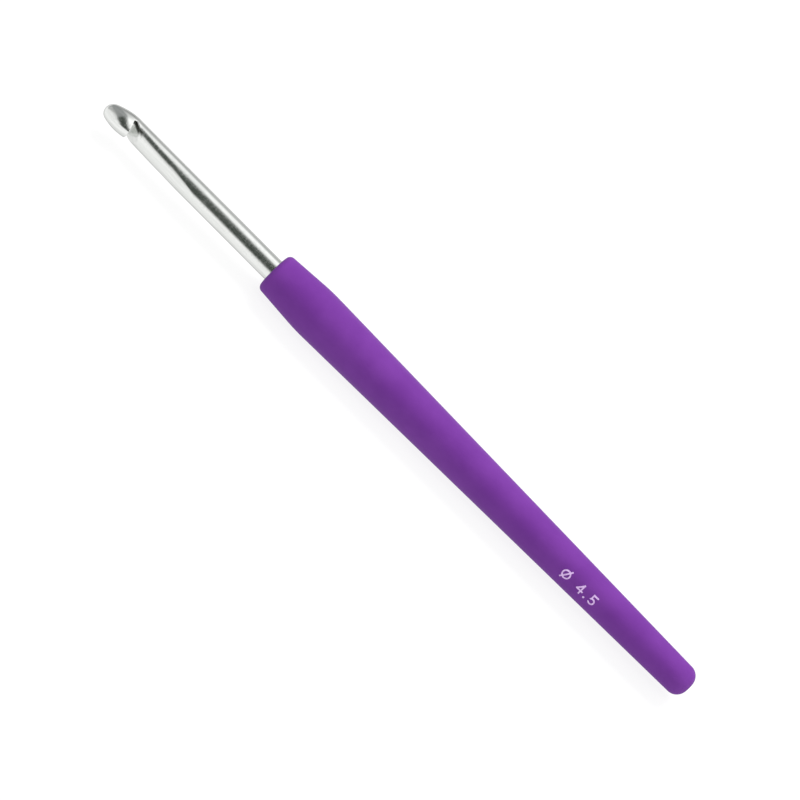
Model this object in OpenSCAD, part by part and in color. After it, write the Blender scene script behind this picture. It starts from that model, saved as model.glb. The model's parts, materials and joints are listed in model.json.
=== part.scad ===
// Crochet hook: an aluminium rod with a bullet head, in a moulded two-layer handle.
// It lies along X, with its head towards -X, its throat facing -Y and its widest part on Z = 0.
// Sizes are in millimetres. "from the tip" and "from the front" are distances along the tool's axis.

/* [Tool] */
// Length of the whole tool, from the tip to the end of the handle
total_len = 150; // [140:1:155]
// Diameter of the shaft, which is the size of the hook
shaft_d = 4.5; // [4:0.1:4.7]
// Length of the metal that stands out of the handle
reach = 42.6; // [36:0.2:50]

/* [Head] */
// Radius of the rounded tip
tip_r = 1.78; // [1.5:0.02:1.9]
// Diameter of the head at its widest
head_d = 4.62; // [4.54:0.02:4.7]
// Distance of the head's widest point from the tip
head_at = 4.7; // [4.4:0.1:5.2]
// Distance from the tip to the back plane of the head
head_len = 6.4; // [6.2:0.1:6.6]
// Lean of the head towards the throat, in degrees
head_lean = 5; // [3:0.5:5.5]

/* [Throat] */
// Radius of the throat's rounded floor
throat_r = 0.36; // [0.3:0.02:0.44]
// Distance of the throat's floor from the tip
throat_at = 5.9; // [5.8:0.05:6]
// Depth of the throat's floor past the axis of the shaft, less than zero where it stops short
throat_depth = -0.05; // [-0.2:0.05:0.2]
// Distance of the lip's back edge from the tip
lip_at = 6.45; // [6.3:0.05:6.5]
// Distance from the tip to the rear wall of the throat, well outside its mouth
mouth_at = 12; // [9:0.1:13]

/* [Neck] */
// Distance from the tip to where the pressed neck reaches full diameter
neck_len = 24; // [20:0.5:26]
// Radius of the long curve of the pressed face
neck_sweep_r = 165; // [140:5:180]
// Radius of the pressed face across the shaft
neck_cross_r = 4; // [3:0.1:5]

/* [Handle] */
// Diameter of the handle at its widest
crest_d = 9.74; // [9.4:0.02:11]
// Distance of the widest point from the front of the handle
crest_at = 11.5; // [9:0.1:14]
// Radius of the curve over the widest point
swell_r = 45; // [30:5:70]
// Slope of the cone in front of the widest point, in degrees
front_slope = 4; // [3:0.25:5]
// Slope of the taper towards the tail, in degrees
taper = 1.06; // [0.8:0.02:1.14]
// Rounding of the front edge
front_round = 1.1; // [0.8:0.1:1.5]
// Rounding of the tail
tail_round = 2.4; // [1.8:0.1:2.5]

/* [Inside the handle] */
// Thickness of the soft sleeve over the core
sleeve_wall = 1.3; // [1:0.1:1.4]
// Thickness of the soft wall in front of the core
front_wall = 2; // [1.8:0.1:3]
// Thickness of the soft wall behind the core
tail_wall = 4; // [3:0.5:6]
// Length of the rod inside the handle
tang_len = 46; // [44:1:50]
// Depth of the rings that lock the pieces together
lock_depth = 0.4; // [0.3:0.05:0.5]

/* [Size mark] */
// Height of the figures
mark_h = 2.1; // [1.5:0.1:2.3]
// Width of the printed lines
mark_line = 0.3; // [0.2:0.02:0.34]
// Thickness of the ink
ink = 0.05; // [0.04:0.01:0.08]
// Distance of the mark's middle from the front of the handle
mark_at = 80.6; // [60:0.2:90]
// Turn of the mark about the handle, from the top towards the throat side, in degrees
mark_turn = 65; // [0:5:90]

/* [Hidden] */
$fn = 96;

shaft_r = shaft_d / 2;
crest_r = crest_d / 2;
handle_len = total_len - reach;
tip_x = -total_len / 2;
front_x = tip_x + reach;

// The head's side is one arc that runs smoothly into the rounded tip.
head_r = head_d / 2;
head_rise = head_at - tip_r;
head_side_r = (head_r * head_r + head_rise * head_rise - tip_r * tip_r) / (2 * (head_r - tip_r));
tip_join = tip_r - tip_r * head_rise / (head_side_r - tip_r);

// The throat's two walls leave its round floor a hair inside the tangents, so that they cross it.
throat_mid = throat_depth - throat_r;
wall_r = 0.97 * throat_r;
past_head = 1;
mouth_y = -head_r - past_head;
lip_y = -head_r;
lip_reach = 1.4;

// The pressed face starts a little outside the shaft, so that the two surfaces cross cleanly.
neck_start = 0.02;
neck_draft = 0.02;
neck_arc = 14;
head_overlap = 0.1;

// Each round stretch meets the cone or the taper where it has the same slope. The straight stretches run
// a hair inside the round ones, and the round ones go on past the join, so that the two cross.
join_drop = 0.005;
round_past = 0.3;
swell_past = 1.5;
cone_join = crest_at - swell_r * sin(front_slope);
cone_join_r = crest_r - swell_r * (1 - cos(front_slope)) - join_drop;
swell_join = crest_at + swell_r * sin(taper);
swell_join_r = crest_r - swell_r * (1 - cos(taper)) - join_drop;
front_mid_r = cone_r(front_round) - front_round / cos(front_slope) + join_drop;
front_join = front_round * (1 - sin(front_slope));
tail_mid_at = handle_len - tail_round;
tail_mid_r = taper_r(tail_mid_at) - tail_round / cos(taper) + join_drop;
tail_join = tail_mid_at + tail_round * sin(taper);

// The core follows the inside of the sleeve.
core_end = handle_len - tail_wall;
core_front_r = shaft_r + 0.75;
core_ring_w = 2.5;
core_ring_pitch = 12;
core_ring_first = 14;
window_r = 0.9;
window_first = 58;
window_pitch = 12;

// Rings and flats on the tang.
seal_at = 0.6;
seal_w = 1;
tang_ring_w = 3;
tang_rings = [8, 16, 24];
flat_from = 34;
flat_w = 10;
flat_half = 1.75;
tang_chamfer = 0.5;
tang_lead = 0.6;
tang_end_r = shaft_r - 0.02;

// Radius of the cone's outside at a distance from the front of the handle.
function cone_r(at) = cone_join_r - (cone_join - at) * tan(front_slope);

// Radius of the taper's outside at a distance from the front of the handle.
function taper_r(at) = swell_join_r - (at - swell_join) * tan(taper);

// Unit vector at an angle in the XY plane.
function heading(a) = [cos(a), sin(a)];

// Direction, from a circle's centre, of the point where a tangent through p touches it.
function touch(c, r, p, side) =
    let (d = p - c)
    atan2(d.y, d.x) + side * acos(r / norm(d));

// Turns a profile of radius and distance into a body along X that starts at x.
module along_x(x) {
    translate([x, 0, crest_r])
        rotate([0, 90, 0])
            rotate_extrude()
                children();
}

// A strip of the profile plane between two distances.
module strip(from, to, width) {
    translate([0, from])
        square([width, to - from]);
}

module head_profile() {
    intersection() {
        translate([0, tip_r])
            circle(tip_r);
        strip(0, tip_join, head_r);
    }
    intersection() {
        translate([head_r - head_side_r, head_at])
            circle(head_side_r, $fn = 360);
        strip(tip_join, head_len, head_r);
    }
}

// The bullet head leans towards the throat about its back plane.
module head() {
    lean_x = tip_x + head_len;
    translate([lean_x, 0, 0])
        rotate([0, 0, head_lean])
            translate([-lean_x, 0, 0])
                along_x(tip_x)
                    head_profile();
}

// The round floor and the two walls are separate cutters, one after the other.
module throat_floor() {
    translate([tip_x + throat_at, throat_mid, crest_r])
        cylinder(h = crest_d, r = throat_r, center = true);
}

module throat_mouth() {
    floor_mid = [throat_at, throat_mid];
    lip_far = floor_mid + lip_reach * ([lip_at, lip_y] - floor_mid);
    rear_far = [mouth_at, mouth_y];
    lip_touch = floor_mid + wall_r * heading(touch(floor_mid, wall_r, lip_far, -1));
    rear_touch = floor_mid + wall_r * heading(touch(floor_mid, wall_r, rear_far, 1));
    translate([tip_x, 0, 0])
        linear_extrude(crest_d)
            polygon([floor_mid, lip_touch, lip_far, rear_far, rear_touch]);
}

// What the press leaves of the throat side of the neck.
module neck_press() {
    block_len = neck_len - head_len;
    sweep_mid = neck_sweep_r - shaft_r - neck_start;
    difference() {
        translate([tip_x + throat_at, -crest_d, 0])
            cube([block_len, crest_d, crest_d]);
        translate([tip_x + neck_len, sweep_mid, crest_r])
            rotate([0, 0, 180 + 90 - neck_arc])
                rotate_extrude(angle = neck_arc * 2, $fn = 720)
                    translate([neck_sweep_r - neck_cross_r, 0])
                        circle(neck_cross_r);
    }
}

// A ring-shaped cutter round a rod of radius r.
module ring(x, width, r, depth) {
    along_x(x)
        translate([r - depth, 0])
            square([depth + 1, width]);
}

// The neck is drawn out a hair thinner by the press, and the tang has a hair of draft for its mould.
// The true cylinder is the stretch between them.
module rod() {
    start = head_len - head_overlap;
    end = reach + tang_len;
    along_x(tip_x)
        polygon([
            [0, start],
            [shaft_r - neck_draft, start],
            [shaft_r, neck_len],
            [shaft_r, reach - tang_lead],
            [tang_end_r, end - tang_chamfer],
            [tang_end_r - tang_chamfer, end],
            [0, end]
        ]);
}

module tang_cuts() {
    ring(front_x + seal_at, seal_w, shaft_r, lock_depth);
    for (at = tang_rings)
        ring(front_x + at, tang_ring_w, shaft_r, lock_depth);
    for (side = [-1, 1])
        translate([front_x + flat_from, -shaft_d / 2, crest_r + side * (flat_half + 1) - 1])
            cube([flat_w, shaft_d, 2]);
}

module hook_shaft() {
    color("silver")
        difference() {
            union() {
                head();
                rod();
            }
            throat_floor();
            throat_mouth();
            neck_press();
            tang_cuts();
        }
}

module core_profile() {
    polygon([
        [0, front_wall],
        [core_front_r, front_wall],
        [crest_r - sleeve_wall, crest_at],
        [taper_r(core_end) - sleeve_wall, core_end],
        [0, core_end]
    ]);
}

// The core with its rings and windows, and no hole for the tang yet.
module core_body() {
    ring_count = floor((core_end - core_ring_first) / core_ring_pitch);
    difference() {
        along_x(front_x)
            core_profile();
        for (i = [0:ring_count - 1]) {
            at = core_ring_first + i * core_ring_pitch;
            ring(front_x + at, core_ring_w, taper_r(at) - sleeve_wall, lock_depth);
        }
        for (i = [0:2])
            translate([front_x + window_first + i * window_pitch, 0, crest_r])
                rotate([90 * (i % 2), 0, 0])
                    cylinder(h = crest_d, r = window_r, center = true);
    }
}

module handle_core() {
    color("dimgray")
        difference() {
            core_body();
            hook_shaft();
        }
}

module handle_profile() {
    intersection() {
        translate([front_mid_r, front_round])
            circle(front_round);
        strip(0, front_join + round_past, crest_r);
    }
    strip(0, front_join, front_mid_r);
    polygon([
        [0, front_join],
        [cone_r(front_join), front_join],
        [cone_join_r, cone_join],
        [0, cone_join]
    ]);
    intersection() {
        translate([crest_r - swell_r, crest_at])
            circle(swell_r, $fn = 1440);
        strip(cone_join - swell_past, swell_join + swell_past, crest_r);
    }
    polygon([
        [0, swell_join],
        [swell_join_r, swell_join],
        [taper_r(tail_join), tail_join],
        [0, tail_join]
    ]);
    intersection() {
        translate([tail_mid_r, tail_mid_at])
            circle(tail_round);
        strip(tail_join - round_past, handle_len, crest_r);
    }
    strip(tail_join, handle_len, tail_mid_r);
}

module grip_sleeve() {
    color([0.45, 0.23, 0.59])
        difference() {
            along_x(front_x)
                handle_profile();
            core_body();
            hook_shaft();
        }
}

// A printed line from a to b.
module stroke(a, b) {
    d = b - a;
    translate(a)
        rotate(atan2(d.y, d.x))
            translate([-mark_line / 2, -mark_line / 2])
                square([norm(d) + mark_line, mark_line]);
}

module diameter_sign() {
    half = mark_h / 2;
    ring_r = 0.38 * mark_h;
    difference() {
        circle(ring_r + mark_line / 2);
        circle(ring_r - mark_line / 2);
    }
    stroke([-0.62 * half, -half], [0.62 * half, half]);
}

module four() {
    half = mark_h / 2 - mark_line / 2;
    stroke([0.3 * half, -half], [0.3 * half, half]);
    stroke([0.3 * half, half], [-0.7 * half, -0.35 * half]);
    stroke([-0.7 * half, -0.35 * half], [0.7 * half, -0.35 * half]);
}

module point() {
    translate([0, -mark_h / 2 + 0.7 * mark_line])
        circle(0.7 * mark_line);
}

module five() {
    half = mark_h / 2 - mark_line / 2;
    bowl_r = 0.6 * half;
    stroke([-0.45 * half, half], [0.55 * half, half]);
    stroke([-0.45 * half, half], [-0.45 * half, bowl_r - 0.4 * half]);
    translate([-0.1 * half, bowl_r - half])
        difference() {
            circle(bowl_r + mark_line / 2);
            circle(bowl_r - mark_line / 2);
            translate([-2 * mark_h, -0.45 * bowl_r])
                square([2 * mark_h, 0.9 * bowl_r]);
        }
}

// The mark shows the shaft's diameter in plain figures.
module mark_outline() {
    step = 0.95 * mark_h;
    translate([-1.95 * step, 0])
        diameter_sign();
    translate([-0.1 * step, 0])
        four();
    translate([0.62 * step, 0])
        point();
    translate([1.45 * step, 0])
        five();
}

// The layer of ink lies on the taper, so it is the figures cut out of a thin cone.
module size_mark() {
    half_len = 3 * mark_h;
    from = mark_at - half_len;
    to = mark_at + half_len;
    color([0.83, 0.78, 0.88])
        intersection() {
            along_x(front_x)
                polygon([
                    [taper_r(from), from],
                    [taper_r(from) + ink, from],
                    [taper_r(to) + ink, to],
                    [taper_r(to), to]
                ]);
            translate([front_x + mark_at, 0, crest_r])
                rotate([mark_turn, 0, 0])
                    linear_extrude(crest_d)
                        mark_outline();
        }
}

hook_shaft();
handle_core();
grip_sleeve();
size_mark();
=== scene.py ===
"""A crochet hook: an aluminium rod with a bullet head, in a purple soft-touch handle.

Lengths are in metres unless a name or a comment says millimetres. The tool lies along X with its tip
towards -X, its throat facing -Y, and its handle on the floor at Z = 0.
"""

import json
import math

import bmesh
import bpy
import numpy as np
from mathutils import Matrix, Vector


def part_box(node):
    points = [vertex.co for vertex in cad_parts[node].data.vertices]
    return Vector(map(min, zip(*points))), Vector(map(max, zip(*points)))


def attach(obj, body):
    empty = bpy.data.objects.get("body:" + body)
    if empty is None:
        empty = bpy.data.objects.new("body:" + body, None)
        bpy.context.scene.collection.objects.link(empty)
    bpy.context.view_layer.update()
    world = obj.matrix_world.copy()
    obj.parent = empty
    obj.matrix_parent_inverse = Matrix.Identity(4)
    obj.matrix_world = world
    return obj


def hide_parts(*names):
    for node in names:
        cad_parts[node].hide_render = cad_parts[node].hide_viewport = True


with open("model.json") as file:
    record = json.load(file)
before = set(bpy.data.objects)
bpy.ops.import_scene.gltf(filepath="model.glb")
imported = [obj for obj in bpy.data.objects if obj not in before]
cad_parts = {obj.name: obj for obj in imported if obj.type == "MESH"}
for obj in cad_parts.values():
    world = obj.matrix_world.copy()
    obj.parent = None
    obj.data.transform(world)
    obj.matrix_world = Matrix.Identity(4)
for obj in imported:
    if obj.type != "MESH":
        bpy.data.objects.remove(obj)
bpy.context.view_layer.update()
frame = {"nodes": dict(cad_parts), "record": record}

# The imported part: places in metres, lengths and radii in millimetres.
MM = 0.001
shaft_low, shaft_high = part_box("hook_shaft")
grip_low, grip_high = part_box("grip_sleeve")
core_low, core_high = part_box("handle_core")
TIP_X = shaft_low.x
TAIL_X = grip_high.x
AXIS_Z = (grip_low.z + grip_high.z) / 2
ROD_LENGTH = (shaft_high.x - shaft_low.x) / MM
REACH = (grip_low.x - shaft_low.x) / MM
HANDLE_LENGTH = (grip_high.x - grip_low.x) / MM
CREST_R = (grip_high.z - grip_low.z) / 2 / MM
SHAFT_R = frame["record"]["mounts"][0]["dims"]["r_mm"]

# The camera looks down at the tool from the side that the throat opens to. It is rolled, so that the
# tool lies across the picture from its upper left to its lower right.
VIEW_RISE = math.radians(45)
VIEW_ROLL = math.radians(-45.135)
PICTURE_WIDTH = 145.8 * MM
AIM_RIGHT = 0.20 * MM
AIM_UP = -0.63 * MM
LENS = 200
SENSOR = 36
VIEW_BACK = Vector((0, -math.cos(VIEW_RISE), math.sin(VIEW_RISE)))
VIEW_SIDE = Vector((0, math.sin(VIEW_RISE), math.cos(VIEW_RISE)))


def make_camera():
    along = Vector((1, 0, 0))
    right = math.cos(VIEW_ROLL) * along - math.sin(VIEW_ROLL) * VIEW_SIDE
    up = math.sin(VIEW_ROLL) * along + math.cos(VIEW_ROLL) * VIEW_SIDE
    middle = Vector(((TIP_X + TAIL_X) / 2, 0, AXIS_Z))
    aim = middle + AIM_RIGHT * right + AIM_UP * up
    data = bpy.data.cameras.new("camera")
    data.type = "PERSP"
    data.lens = LENS
    data.sensor_width = SENSOR
    data.clip_start = 0.01
    data.clip_end = 50
    camera = bpy.data.objects.new("camera", data)
    bpy.context.scene.collection.objects.link(camera)
    place = Matrix((right, up, VIEW_BACK)).transposed().to_4x4()
    place.translation = aim + VIEW_BACK * (PICTURE_WIDTH * LENS / SENSOR)
    camera.matrix_world = place
    bpy.context.scene.camera = camera


# --------------------------------------------------------------------------------------------------
# Materials

METAL_DEEP = (0.73, 0.745, 0.725, 1)
METAL_PALE = (0.80, 0.81, 0.795, 1)
# The near-black colour of the painted shade in the top corner of the throat.
METAL_PAINTED_SHADE = (0.07, 0.075, 0.065, 1)
METAL_EDGE = (0.5, 0.5, 0.5, 1)
GRIP_DEEP = (0.133, 0.027, 0.240, 1)
GRIP_PALE = (0.151, 0.034, 0.265, 1)
GRIP_SCUFFED = (0.21, 0.07, 0.35, 1)
CORE_DEEP = (0.022, 0.022, 0.024, 1)
CORE_PALE = (0.035, 0.035, 0.038, 1)
INK_THIN = (0.52, 0.32, 0.64, 1)
INK_FULL = (0.66, 0.46, 0.78, 1)

# Millimetres. Painted shade darkens the top corner of the throat, near SHADE_AT from the tip, and makes it
# rougher. The painted shade fades from full to none between the two values of SHADE_ALONG on either
# side of SHADE_AT, of SHADE_FORWARD towards the throat's mouth and of SHADE_OUTWARD from the axis.
# Between those of SHADE_UP it grows to full.
SHADE_AT = 6.7
SHADE_ALONG = (1.2, 2.3)
SHADE_UP = (0.9, 1.5)
SHADE_FORWARD = (0.9, 1.4)
SHADE_OUTWARD = (2.14, 2.24)
SHADE_ROUGHER = 0.3

# Millimetres from the front of the handle: where the fingers' polish comes in and where it goes out.
HELD_IN = (4, 16)
HELD_OUT = (45, 75)
HELD_SMOOTHER = 0.07


class Nodes:
    """A node tree with short calls, whose values are numbers, colours or outputs of other nodes."""

    def __init__(self, tree):
        self.tree = tree
        tree.nodes.clear()

    def node(self, kind, inputs=None, **settings):
        """A new node. The keys of inputs are the names or the numbers of its inputs."""
        made = self.tree.nodes.new(kind)
        for name, value in settings.items():
            setattr(made, name, value)
        for key, value in (inputs or {}).items():
            if isinstance(value, bpy.types.NodeSocket):
                self.tree.links.new(value, made.inputs[key])
            else:
                made.inputs[key].default_value = value
        return made

    def math(self, operation, *values):
        made = self.node("ShaderNodeMath", dict(enumerate(values)), operation=operation)
        return made.outputs[0]

    def ramp(self, factor, low, high, to_low=0.0, to_high=1.0):
        """A smooth step: to_low below low, to_high above high."""
        made = self.node(
            "ShaderNodeMapRange",
            {"Value": factor, "From Min": low, "From Max": high, "To Min": to_low, "To Max": to_high},
            interpolation_type="SMOOTHSTEP",
        )
        return made.outputs["Result"]

    def mix(self, factor, a, b):
        """A mix of two colours. This node's sockets share their names, so they go by number."""
        made = self.node("ShaderNodeMix", {0: factor, 6: a, 7: b}, data_type="RGBA")
        return made.outputs[2]

    def place(self):
        """The X, Y and Z of a point on the object."""
        point = self.node("ShaderNodeTexCoord").outputs["Object"]
        split = self.node("ShaderNodeSeparateXYZ", {"Vector": point})
        return split.outputs["X"], split.outputs["Y"], split.outputs["Z"]

    def noise(self, along, across, detail=3.0, roughness=0.55):
        """Noise with about this many waves a metre, along the tool and across it."""
        point = self.node("ShaderNodeTexCoord").outputs["Object"]
        scaled = self.node("ShaderNodeMapping", {"Vector": point, "Scale": (along, across, across)})
        made = self.node(
            "ShaderNodeTexNoise",
            {"Vector": scaled.outputs["Vector"], "Scale": 1.0, "Detail": detail, "Roughness": roughness},
        )
        return made.outputs["Fac"]

    def bump(self, height, strength, depth, over=None):
        """A bumped normal, made over another bumped normal if one is given. The depth is in metres."""
        inputs = {"Height": height, "Strength": strength, "Distance": depth}
        if over is not None:
            inputs["Normal"] = over
        return self.node("ShaderNodeBump", inputs).outputs["Normal"]

    def surface(self, inputs):
        """Makes a Principled shader with these inputs and ends the material's tree with it."""
        made = self.node("ShaderNodeBsdfPrincipled", inputs)
        self.node("ShaderNodeOutputMaterial", {"Surface": made.outputs["BSDF"]})


def new_material(name):
    material = bpy.data.materials.new(name)
    material.use_nodes = True
    return material, Nodes(material.node_tree)


def painted_throat_shade(n):
    """1 in the top corner of the throat, which painted shade darkens, and 0 elsewhere."""

    def fade(value, limits, to_low, to_high):
        return n.ramp(value, limits[0] * MM, limits[1] * MM, to_low, to_high)

    x, y, z = n.place()
    away = n.math("ABSOLUTE", n.math("SUBTRACT", x, TIP_X + SHADE_AT * MM))
    up = n.math("SUBTRACT", z, AXIS_Z)
    forward = n.math("MULTIPLY", y, -1)
    outward = n.math("SQRT", n.math("ADD", n.math("POWER", up, 2), n.math("POWER", forward, 2)))
    throat_shade = n.math("MULTIPLY", fade(away, SHADE_ALONG, 1, 0), fade(up, SHADE_UP, 0, 1))
    throat_shade = n.math("MULTIPLY", throat_shade, fade(forward, SHADE_FORWARD, 1, 0))
    return n.math("MULTIPLY", throat_shade, fade(outward, SHADE_OUTWARD, 1, 0))


def metal_material():
    """Polished anodised aluminium, with drawing lines along the rod, rubbed marks across it and painted
    shade in the throat's top corner.
    """
    material, n = new_material("polished_aluminium")
    lines = n.noise(40, 5000, 4)
    rubs = n.noise(2600, 900, 5, 0.65)
    cloud = n.noise(120, 1500, 4)
    # Painted shade: the top corner of the throat is darkened to near black and made rougher.
    throat_shade = painted_throat_shade(n)
    polished = n.mix(n.ramp(cloud, 0.35, 0.65), METAL_DEEP, METAL_PALE)
    rough = n.ramp(rubs, 0.45, 0.75, 0.17, 0.27)
    n.surface({
        "Base Color": n.mix(throat_shade, polished, METAL_PAINTED_SHADE),
        "Metallic": 1.0,
        "Roughness": n.math("ADD", rough, n.math("MULTIPLY", throat_shade, SHADE_ROUGHER)),
        "Specular Tint": METAL_EDGE,
        "Normal": n.bump(rubs, 0.06, 0.04 * MM, over=n.bump(lines, 0.16, 0.02 * MM)),
    })
    return material


def grip_material():
    """Soft-touch purple plastic: a fine matte grain, faint clouds and a slight polish where it is held."""
    material, n = new_material("soft_purple")
    grain = n.noise(5200, 5200, 2, 0.6)
    cloud = n.noise(160, 160, 4)
    scuff = n.noise(500, 1900, 6, 0.7)
    x, _, _ = n.place()
    held_in = n.ramp(x, grip_low.x + HELD_IN[0] * MM, grip_low.x + HELD_IN[1] * MM)
    held_out = n.ramp(x, grip_low.x + HELD_OUT[0] * MM, grip_low.x + HELD_OUT[1] * MM, 1, 0)
    held = n.math("MULTIPLY", held_in, held_out)
    base = n.mix(n.ramp(cloud, 0.3, 0.7), GRIP_DEEP, GRIP_PALE)
    rough = n.ramp(cloud, 0.3, 0.7, 0.58, 0.68)
    n.surface({
        "Base Color": n.mix(n.ramp(scuff, 0.66, 0.82, 0, 0.35), base, GRIP_SCUFFED),
        "Roughness": n.math("SUBTRACT", rough, n.math("MULTIPLY", held, HELD_SMOOTHER)),
        "Specular IOR Level": 0.13,
        "Normal": n.bump(grain, 0.35, 0.03 * MM),
    })
    return material


def core_material():
    """Dark moulded plastic with a spark-eroded texture."""
    material, n = new_material("dark_plastic")
    grain = n.noise(3000, 3000, 3)
    cloud = n.noise(200, 200, 2)
    n.surface({
        "Base Color": n.mix(n.ramp(cloud, 0.3, 0.7), CORE_DEEP, CORE_PALE),
        "Roughness": n.ramp(grain, 0.3, 0.7, 0.45, 0.6),
        "Normal": n.bump(grain, 0.3, 0.04 * MM),
    })
    return material


def ink_material():
    """Pale printed ink, a little thin in places."""
    material, n = new_material("pale_ink")
    patch = n.noise(2500, 2500, 4)
    n.surface({
        "Base Color": n.mix(n.ramp(patch, 0.35, 0.6), INK_THIN, INK_FULL),
        "Roughness": n.ramp(patch, 0.3, 0.7, 0.45, 0.6),
    })
    return material


# --------------------------------------------------------------------------------------------------
# The hook shaft, as the zero surface of a distance function

# Up to make_piece, lengths are in millimetres. x runs from the tip, w towards the throat and v upwards,
# the last two from the axis.

# The head: the radius of its tip, and the radius and the place of its widest point. Its own axis is
# HEAD_SINK nearer to the throat's side than the rod's, and leans further that way in front of HEAD_BACK.
# HEAD_BLEND rounds its join with the rod.
HEAD_TIP_R = 1.78
HEAD_R = 2.25
HEAD_AT = 4.6
HEAD_BACK = 6.0
HEAD_LEAN = 0.115
HEAD_SINK = 0.15
HEAD_BLEND = 0.35

# The throat: the circles at its floor and at its mouth, with their middles as (x, w), and how far the
# edges of the lip and those behind it are rounded over. The one rounding becomes the other over
# EDGE_CHANGE, which is behind the floor's middle, and EDGE_SLANT further behind for each millimetre of w.
FLOOR_MID = (5.90, 0.36)
FLOOR_R = 0.34
MOUTH_MID = (8.63, 3.55)
MOUTH_R = 1.53
LIP_BLEND = 0.12
REAR_BLEND = 0.25
EDGE_CHANGE = (-0.3, 0.7)
EDGE_SLANT = 0.7

# The neck: where its pressed face ends, the radii of that face along and across the rod, and how far its
# edges are rounded over. Over the last NECK_FADE the rounding shrinks to LEAST_BLEND of itself.
NECK_END = 24.0
NECK_SWEEP_R = 172.0
NECK_CROSS_R = 12.0
NECK_BLEND = 1.1
NECK_FADE = 8.0
LEAST_BLEND = 0.01

# In front of NOSE_AT the rod draws in, as a curve that starts with the radius NOSE_R.
NOSE_AT = 6.2
NOSE_R = 9.0

# The tang, inside the handle: its grooves as (start, width), the two flats' start and end, all from the
# handle's front, and how far the flats are from the axis.
TANG_GROOVES = ((0.6, 1.0), (8.0, 3.0), (16.0, 3.0), (24.0, 3.0))
GROOVE_DEPTH = 0.4
TANG_FLAT = (34.0, 44.0)
TANG_FLAT_HALF = 1.75

# The grid that the surface is found on: how far it goes past the rod, its step in each stretch, and the
# ends of the first two stretches.
GRID_BEFORE = 0.15
GRID_BESIDE = 2.7
GRID_BEHIND = 0.3
THROAT_STEP = 0.07
THROAT_END = 9.0
MOUTH_STEP = 0.15
MOUTH_END = 12.0
NECK_STEP = 0.4
ROD_STEP = 0.6
TANG_STEP = 0.35

# How the points are moved onto the true surface: the rounds of Newton's method, the step that a slope is
# measured with, and the least squared slope that is divided by.
NEWTON_ROUNDS = 3
SLOPE_STEP = 0.002
LEAST_SQUARE_SLOPE = 0.2


def smooth_max(a, b, blend):
    """The larger of two distances, with the edge where they meet rounded over about blend."""
    share = np.clip(0.5 + 0.5 * (a - b) / blend, 0, 1)
    return b + (a - b) * share + blend * share * (1 - share)


def smooth_min(a, b, blend):
    return -smooth_max(-a, -b, blend)


def head_distance(x, w, v):
    """A bullet: a round tip that runs smoothly into one long arc, leaning towards the throat."""
    rise = HEAD_AT - HEAD_TIP_R
    side_r = (HEAD_R**2 + rise**2 - HEAD_TIP_R**2) / (2 * (HEAD_R - HEAD_TIP_R))
    out = np.hypot(w - HEAD_SINK - HEAD_LEAN * np.maximum(HEAD_BACK - x, 0), v)
    side_mid = HEAD_R - side_r
    before_join = (x - HEAD_TIP_R) * -side_mid + out * rise < 0
    tip = np.hypot(x - HEAD_TIP_R, out) - HEAD_TIP_R
    side = np.hypot(x - HEAD_AT, out - side_mid) - side_r
    return np.where(before_join, tip, side)


def neck_distance(x, w, v):
    """The long curved face that the press leaves on the throat side, itself rounded across."""
    from_mid = np.hypot(np.minimum(x - NECK_END, 0), w + NECK_SWEEP_R - SHAFT_R)
    sweep = from_mid - (NECK_SWEEP_R - NECK_CROSS_R)
    return np.hypot(np.maximum(sweep, 0), v) - NECK_CROSS_R


def throat_distance(x, w):
    """A slot that opens from a round floor to a wide mouth."""
    start = np.array(FLOOR_MID)
    run = np.array(MOUTH_MID) - start
    length = np.hypot(*run)
    run = run / length
    along = (x - start[0]) * run[0] + (w - start[1]) * run[1]
    across = np.abs((x - start[0]) * run[1] - (w - start[1]) * run[0])
    lean = (FLOOR_R - MOUTH_R) / length
    level = math.sqrt(1 - lean * lean)
    turned = along * level - across * lean
    at_floor = np.hypot(along, across) - FLOOR_R
    at_mouth = np.hypot(along - length, across) - MOUTH_R
    wall = along * lean + across * level - FLOOR_R
    return np.where(turned < 0, at_floor, np.where(turned > level * length, at_mouth, wall))


def tang_distance(x, w, v):
    """Above zero in the tang's grooves, beyond its flats and behind its end."""
    out = np.hypot(w, v)
    cut = x - ROD_LENGTH
    for start, width in TANG_GROOVES:
        middle = REACH + start + width / 2
        groove = np.maximum(np.abs(x - middle) - width / 2, SHAFT_R - GROOVE_DEPTH - out)
        cut = np.maximum(cut, -groove)
    flat_mid = REACH + sum(TANG_FLAT) / 2
    flat_half = (TANG_FLAT[1] - TANG_FLAT[0]) / 2
    flat = np.maximum(np.abs(x - flat_mid) - flat_half, TANG_FLAT_HALF - np.abs(v))
    return np.maximum(cut, -flat)


def hook_distance(x, w, v):
    """The rod with its nose and neck, joined to the head, less the throat and what is cut off the tang."""
    nose = np.maximum(NOSE_AT - x, 0)
    rod = np.hypot(w, v) + nose**2 / (2 * NOSE_R) - SHAFT_R
    neck_blend = NECK_BLEND * np.clip((NECK_END - x) / NECK_FADE, LEAST_BLEND, 1)
    rod = smooth_max(rod, neck_distance(x, w, v), neck_blend)
    body = smooth_min(rod, head_distance(x, w, v), HEAD_BLEND)
    change = [FLOOR_MID[0] + end for end in EDGE_CHANGE]
    edge_blend = np.interp(x - w * EDGE_SLANT, change, (LIP_BLEND, REAR_BLEND))
    body = smooth_max(body, -throat_distance(x, w), edge_blend)
    return np.maximum(body, tang_distance(x, w, v))


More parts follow.
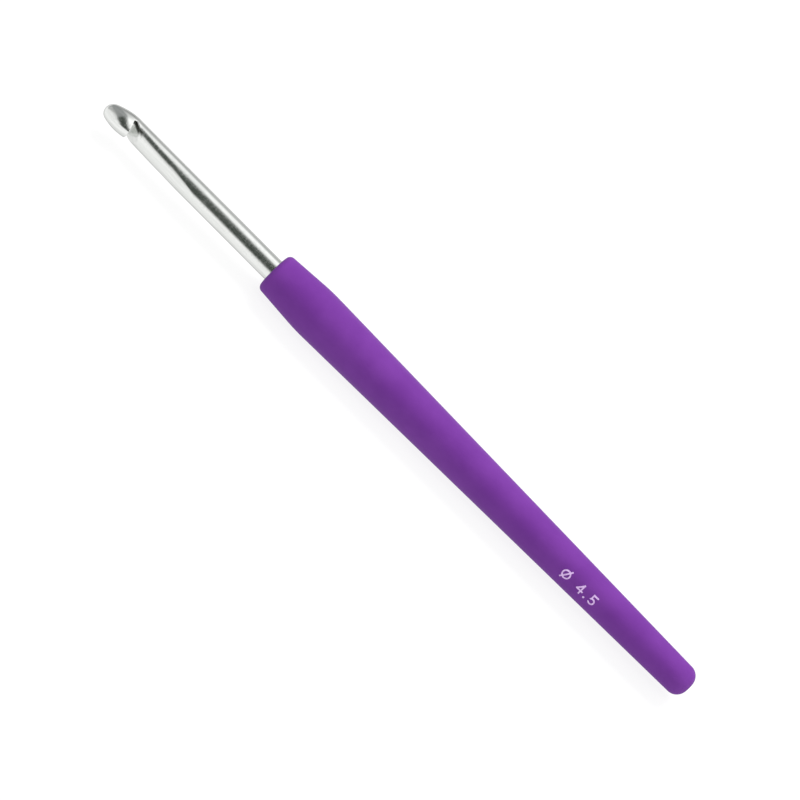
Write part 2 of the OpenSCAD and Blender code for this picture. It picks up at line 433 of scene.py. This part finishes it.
def surface_net(distance, xs, ys, zs):
    """Points and quads of the surface where distance is zero, found on a grid with those lines."""
    x, y, z = np.meshgrid(xs, ys, zs, indexing="ij")
    value = distance(x, y, z)
    inside = value < 0
    cells = tuple(n - 1 for n in value.shape)
    total = np.zeros(cells + (3,))
    count = np.zeros(cells)
    grid = np.stack([x, y, z], axis=-1)
    crossings = []
    for axis in range(3):
        low = tuple(slice(None, -1) if a == axis else slice(None) for a in range(3))
        high = tuple(slice(1, None) if a == axis else slice(None) for a in range(3))
        crossed = inside[low] != inside[high]
        at = np.argwhere(crossed)
        a, b = value[low][crossed], value[high][crossed]
        share = (a / (a - b))[:, None]
        points = grid[low][crossed] * (1 - share) + grid[high][crossed] * share
        others = [o for o in range(3) if o != axis]
        for step_a in (0, 1):
            for step_b in (0, 1):
                cell = at.copy()
                cell[:, others[0]] -= step_a
                cell[:, others[1]] -= step_b
                np.add.at(total, tuple(cell.T), points)
                np.add.at(count, tuple(cell.T), 1)
        crossings.append((axis, others, at, inside[low][crossed]))
    used = count > 0
    number = np.full(cells, -1)
    number[used] = np.arange(used.sum())
    quads = []
    for axis, others, at, from_inside in crossings:
        corners = []
        for step_a, step_b in ((0, 0), (1, 0), (1, 1), (0, 1)):
            cell = at.copy()
            cell[:, others[0]] -= step_a
            cell[:, others[1]] -= step_b
            corners.append(number[tuple(cell.T)])
        quad = np.stack(corners, axis=1)
        flip = from_inside if axis == 1 else ~from_inside
        quad[flip] = quad[flip][:, ::-1]
        quads.append(quad)
    return total[used] / count[used][:, None], np.concatenate(quads)


def slope(distance, points):
    """The gradient of distance at each point."""
    sides = []
    for axis in range(3):
        shift = np.zeros(3)
        shift[axis] = SLOPE_STEP
        sides.append(distance(*(points + shift).T) - distance(*(points - shift).T))
    return np.stack(sides, axis=1) / (2 * SLOPE_STEP)


def stepped(*stretches):
    """Grid lines from (start, end, step) stretches that follow each other."""
    lines = [np.linspace(a, b, max(2, round((b - a) / step) + 1))[:-1] for a, b, step in stretches]
    return np.append(np.concatenate(lines), stretches[-1][1])


def make_piece(name, points, faces, material, node):
    """A smooth mesh piece in the row frame that stands for a CAD node."""
    mesh = bpy.data.meshes.new(name)
    mesh.from_pydata([tuple(p) for p in points], [], [tuple(f) for f in faces])
    mesh.polygons.foreach_set("use_smooth", np.ones(len(mesh.polygons), bool))
    mesh.materials.append(material)
    piece = bpy.data.objects.new(name, mesh)
    bpy.context.scene.collection.objects.link(piece)
    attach(piece, "root")
    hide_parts(node)
    return piece


def to_row(points):
    """From millimetres along, towards the throat and up, to metres in the row frame."""
    x, w, v = points.T
    return np.stack([TIP_X + x * MM, -w * MM, AXIS_Z + v * MM], axis=1)


def make_hook():
    """The surface found on the grid, moved onto the true one and given the true one's normals."""
    along = stepped(
        (-GRID_BEFORE, THROAT_END, THROAT_STEP),
        (THROAT_END, MOUTH_END, MOUTH_STEP),
        (MOUTH_END, NECK_END, NECK_STEP),
        (NECK_END, REACH, ROD_STEP),
        (REACH, ROD_LENGTH + GRID_BEHIND, TANG_STEP),
    )
    across = stepped((-GRID_BESIDE, GRID_BESIDE, THROAT_STEP))
    points, quads = surface_net(hook_distance, along, across, across)
    for _ in range(NEWTON_ROUNDS):
        lean = slope(hook_distance, points)
        square = np.maximum((lean**2).sum(axis=1, keepdims=True), LEAST_SQUARE_SLOPE)
        move = lean * hook_distance(*points.T)[:, None] / square
        points = points - np.clip(move, -THROAT_STEP / 2, THROAT_STEP / 2)
    normals = slope(hook_distance, points) * (1, -1, 1)
    normals /= np.linalg.norm(normals, axis=1, keepdims=True)
    faces = quads[:, ::-1]
    piece = make_piece("hook", to_row(points), faces, metal_material(), "hook_shaft")
    piece.data.normals_split_custom_set_from_vertices([tuple(v) for v in normals])


# --------------------------------------------------------------------------------------------------
# The grip sleeve, turned about the axis

# Millimetres, and distances along the handle are from its front. The swell is the curve over the widest
# point, between the cone in front of it and the taper behind it.
CREST_AT = 11.5
SWELL_R = 45.0
FRONT_SLOPE = math.radians(4)
TAPER = math.radians(1.06)
FRONT_ROUND = 1.1
TAIL_ROUND = 2.4
BORE_GAP = 0.01
BORE_ROUND = 0.25
FACE_DOME = 0.08
TAIL_DOME = 0.07

# The dent that the mould's gate leaves in the tail, and the width of its sloping side.
GATE_R = 0.55
GATE_DEPTH = 0.12
GATE_SIDE = 0.12

# The sleeve's thickness over the core, and how far its inside is from the shaft at the core's front.
WALL = 1.3
CORE_FRONT_GAP = 0.75

# How many points draw each stretch of the outline, and how many sides it is turned through.
BORE_POINTS = 6
FACE_POINTS = 8
FRONT_POINTS = 16
SWELL_POINTS = 24
TAPER_POINTS = 90
TAIL_POINTS = 18
END_POINTS = 12
GRIP_SIDES = 144

# Metres. Points nearer than this are joined.
SAME_POINT = 1e-7


def arc(middle, radius, start, end, count):
    """Points (distance, radius from the axis) on an arc, by angle from the direction of the tail."""
    turns = np.linspace(math.radians(start), math.radians(end), count)
    return np.stack([middle[0] + radius * np.cos(turns), middle[1] + radius * np.sin(turns)], axis=1)


def taper_r(at):
    """The sleeve's outer radius behind the swell."""
    join = CREST_AT + SWELL_R * math.sin(TAPER)
    return CREST_R - SWELL_R * (1 - math.cos(TAPER)) - (at - join) * math.tan(TAPER)


def grip_outline():
    """The closed outline of the sleeve: out over its face, along it, round its tail and back inside."""
    swell_mid = (CREST_AT, CREST_R - SWELL_R)
    swell_end = CREST_AT + SWELL_R * math.sin(TAPER)
    cone_turn = 90 + math.degrees(FRONT_SLOPE)
    cone_end = CREST_AT - SWELL_R * math.sin(FRONT_SLOPE)
    cone_end_r = CREST_R - SWELL_R * (1 - math.cos(FRONT_SLOPE))
    cone_start_r = cone_end_r - (cone_end - FRONT_ROUND) * math.tan(FRONT_SLOPE)
    front_r = cone_start_r - FRONT_ROUND / math.cos(FRONT_SLOPE)
    taper_turn = 90 - math.degrees(TAPER)
    tail_at = HANDLE_LENGTH - TAIL_DOME - TAIL_ROUND
    tail_mid = (tail_at, taper_r(tail_at) - TAIL_ROUND / math.cos(TAPER))
    taper_end = tail_mid[0] + TAIL_ROUND * math.sin(TAPER)

    bore = SHAFT_R + BORE_GAP
    face_r = np.linspace(bore + BORE_ROUND, front_r, FACE_POINTS)
    face_share = (face_r - face_r[0]) / (face_r[-1] - face_r[0])
    face_at = FACE_DOME * face_share**2
    taper_at = np.linspace(swell_end, taper_end, TAPER_POINTS)[1:-1]
    end_r = np.linspace(tail_mid[1], 0.0, END_POINTS)
    end_at = HANDLE_LENGTH - TAIL_DOME * (end_r / tail_mid[1]) ** 2
    end_at -= GATE_DEPTH * np.clip((GATE_R - end_r) / GATE_SIDE, 0, 1)

    core_front = (core_low.x - grip_low.x) / MM
    core_end = (core_high.x - grip_low.x) / MM
    inside = [
        (core_end, 0.0),
        (core_end, taper_r(core_end) - WALL),
        (CREST_AT, CREST_R - WALL),
        (core_front, SHAFT_R + CORE_FRONT_GAP),
        (core_front, bore),
    ]
    return np.concatenate([
        arc((BORE_ROUND, bore + BORE_ROUND), BORE_ROUND, 270, 180, BORE_POINTS)[:-1],
        np.stack([face_at, face_r], axis=1)[:-1],
        arc((FACE_DOME + FRONT_ROUND, front_r), FRONT_ROUND, 180, cone_turn, FRONT_POINTS),
        arc(swell_mid, SWELL_R, cone_turn, taper_turn, SWELL_POINTS)[:-1],
        np.stack([taper_at, taper_r(taper_at)], axis=1),
        arc(tail_mid, TAIL_ROUND, taper_turn, 0, TAIL_POINTS)[:-1],
        np.stack([end_at, end_r], axis=1),
        np.array(inside),
    ])


def make_grip():
    """The outline, turned about the axis and closed where it meets the axis."""
    outline = grip_outline()
    rows = len(outline)
    turns = np.arange(GRIP_SIDES) * 2 * math.pi / GRIP_SIDES
    at, out = outline[:, 0:1], outline[:, 1:2]
    x = np.broadcast_to(REACH + at, (rows, GRIP_SIDES))
    points = np.stack([x, out * np.cos(turns), out * np.sin(turns)], axis=2).reshape(-1, 3)
    faces = []
    for row in range(rows):
        here = row * GRIP_SIDES
        after = ((row + 1) % rows) * GRIP_SIDES
        for side in range(GRIP_SIDES):
            beside = (side + 1) % GRIP_SIDES
            faces.append((here + side, here + beside, after + beside, after + side))
    piece = make_piece("grip", to_row(points), faces, grip_material(), "grip_sleeve")
    shape = bmesh.new()
    shape.from_mesh(piece.data)
    bmesh.ops.remove_doubles(shape, verts=shape.verts, dist=SAME_POINT)
    bmesh.ops.recalc_face_normals(shape, faces=shape.faces)
    shape.to_mesh(piece.data)
    shape.free()


# --------------------------------------------------------------------------------------------------
# The stage

FLOOR_HALF = 3.0
FLOOR_GREY = (0.14, 0.14, 0.14, 1)
FLOOR_GLOW = 0.86

# A direction in the room has a turn and a lean. The turn is its angle about the tool's axis, in degrees
# here, from the direction that the camera has at rest, and it grows upwards. The lean is its part along
# +X. Each pair below is the start and the end of a change.

# The dark side lies between DARK_BELOW and DARK_ABOVE. It slants, because LEAN_SLANT times the lean, in
# radians, is added to a turn before it is compared with them. The shifts, in radians too, widen it at
# both edges where the lean is towards the tip and draw its upper edge in where the lean is towards the
# tail. It fades out over DARK_LAST of lean.
DARK_BELOW = (-48, -28)
DARK_ABOVE = (31, 50)
LEAN_SLANT = 2.7
TIP_LEAN = (-0.15, -0.07)
TIP_SHIFT = 0.12
TAIL_LEAN = (-0.03, 0.06)
TAIL_SHIFT = 0.10
DARK_LAST = (0.55, 0.85)

# The dark side's colours: grey where the lean is towards the tip, near black elsewhere. Over GREY_TURN
# the change between them moves by GREY_SHIFT of lean.
TIP_GREY = (0.34, 0.35, 0.35, 1)
NEAR_BLACK = (0.045, 0.055, 0.045, 1)
GREY_LEAN = (-0.265, -0.165)
GREY_TURN = (15, 50)
GREY_SHIFT = 0.08

# The bright side's brightness goes between the values of TOP_BRIGHT over TOP_TURN, and it is multiplied
# by up to RISE over RISE_TURN. Where the lean is towards the tip it loses a share, which grows between
# the values of LOSS over LOSS_TURN and then falls by LOSS_END over LOSS_END_TURN.
TOP_TURN = (78, 110)
TOP_BRIGHT = (1.28, 0.58)
RISE_TURN = (0, 40)
RISE = 1.1
LOSS_LEAN = (-0.18, -0.01)
LOSS_TURN = (-10, 25)
LOSS = (0.22, 0.6)
LOSS_END_TURN = (65, 95)
LOSS_END = 0.3

# Soft boxes: name, turn in degrees, width, height and watts.
LAMPS = (("key", 74, 0.9, 0.5, 11.3), ("fill", 25, 0.5, 0.3, 1.7))
LAMP_DISTANCE = 1.1


def make_floor():
    """A pale floor, lit mostly by a glow of its own, so that the tool's shadow on it is faint."""
    low, high = -FLOOR_HALF, FLOOR_HALF
    mesh = bpy.data.meshes.new("floor")
    mesh.from_pydata([(low, low, 0), (high, low, 0), (high, high, 0), (low, high, 0)], [], [(0, 1, 2, 3)])
    material, n = new_material("pale_floor")
    matte = n.node(
        "ShaderNodeBsdfPrincipled",
        {"Base Color": FLOOR_GREY, "Roughness": 0.9, "Specular IOR Level": 0.1},
    )
    glow = n.node("ShaderNodeEmission", {"Color": (1, 1, 1, 1), "Strength": FLOOR_GLOW})
    both = n.node("ShaderNodeAddShader", {0: matte.outputs[0], 1: glow.outputs[0]})
    n.node("ShaderNodeOutputMaterial", {"Surface": both.outputs[0]})
    mesh.materials.append(material)
    floor = bpy.data.objects.new("floor", mesh)
    bpy.context.scene.collection.objects.link(floor)


def make_studio():
    """A white room with one dark side, which the metal shows as a dark stripe."""
    world = bpy.data.worlds.new("studio")
    bpy.context.scene.world = world
    world.use_nodes = True
    n = Nodes(world.node_tree)
    way = n.node("ShaderNodeTexCoord").outputs["Generated"]

    def part_along(axis):
        made = n.node("ShaderNodeVectorMath", {0: way, 1: tuple(axis)}, operation="DOT_PRODUCT")
        return made.outputs["Value"]

    def by_turn(value, limits, to_low=0, to_high=1):
        return n.ramp(value, math.radians(limits[0]), math.radians(limits[1]), to_low, to_high)

    turn = n.math("ARCTAN2", part_along(VIEW_SIDE), part_along(VIEW_BACK))
    lean = part_along((1, 0, 0))

    slanted = n.math("ADD", turn, n.math("MULTIPLY", lean, LEAN_SLANT))
    tip_shift = n.ramp(lean, *TIP_LEAN, TIP_SHIFT, 0)
    tail_shift = n.ramp(lean, *TAIL_LEAN, 0, TAIL_SHIFT)
    lower = n.math("ADD", slanted, tip_shift)
    upper = n.math("SUBTRACT", n.math("ADD", slanted, tail_shift), tip_shift)
    dark = n.math("MULTIPLY", by_turn(lower, DARK_BELOW), by_turn(upper, DARK_ABOVE, 1, 0))
    dark = n.math("MULTIPLY", dark, n.ramp(lean, *DARK_LAST, 1, 0))

    grey_lean = n.math("SUBTRACT", lean, by_turn(turn, GREY_TURN, 0, GREY_SHIFT))
    black = n.mix(n.ramp(grey_lean, *GREY_LEAN), TIP_GREY, NEAR_BLACK)

    loss = n.math("SUBTRACT", by_turn(turn, LOSS_TURN, *LOSS), by_turn(turn, LOSS_END_TURN, 0, LOSS_END))
    loss = n.math("MULTIPLY", n.ramp(lean, *LOSS_LEAN, 1, 0), loss)
    bright = n.math("MULTIPLY", by_turn(turn, TOP_TURN, *TOP_BRIGHT), n.math("SUBTRACT", 1, loss))
    bright = n.math("MULTIPLY", bright, by_turn(turn, RISE_TURN, 1, RISE))
    white = n.node("ShaderNodeCombineColor", {"Red": bright, "Green": bright, "Blue": bright})

    room = n.mix(dark, white.outputs[0], black)
    glow = n.node("ShaderNodeBackground", {"Color": room, "Strength": 1.0})
    n.node("ShaderNodeOutputWorld", {"Surface": glow.outputs[0]})


def make_lamp(name, turn, width, height, watts):
    """A soft box that is aimed at the tool and doesn't show in its reflections."""
    data = bpy.data.lights.new(name, "AREA")
    data.shape = "RECTANGLE"
    data.size = width
    data.size_y = height
    data.energy = watts
    lamp = bpy.data.objects.new(name, data)
    bpy.context.scene.collection.objects.link(lamp)
    way = VIEW_BACK * math.cos(math.radians(turn)) + VIEW_SIDE * math.sin(math.radians(turn))
    place = way.to_track_quat("Z", "Y").to_matrix().to_4x4()
    place.translation = way * LAMP_DISTANCE
    lamp.matrix_world = place
    lamp.visible_glossy = False


make_camera()
make_studio()
for lamp in LAMPS:
    make_lamp(*lamp)
make_floor()
make_hook()
make_grip()
frame["nodes"]["handle_core"].material_slots[0].material = core_material()
frame["nodes"]["size_mark"].material_slots[0].material = ink_material()
bpy.context.scene.view_settings.view_transform = "Standard"
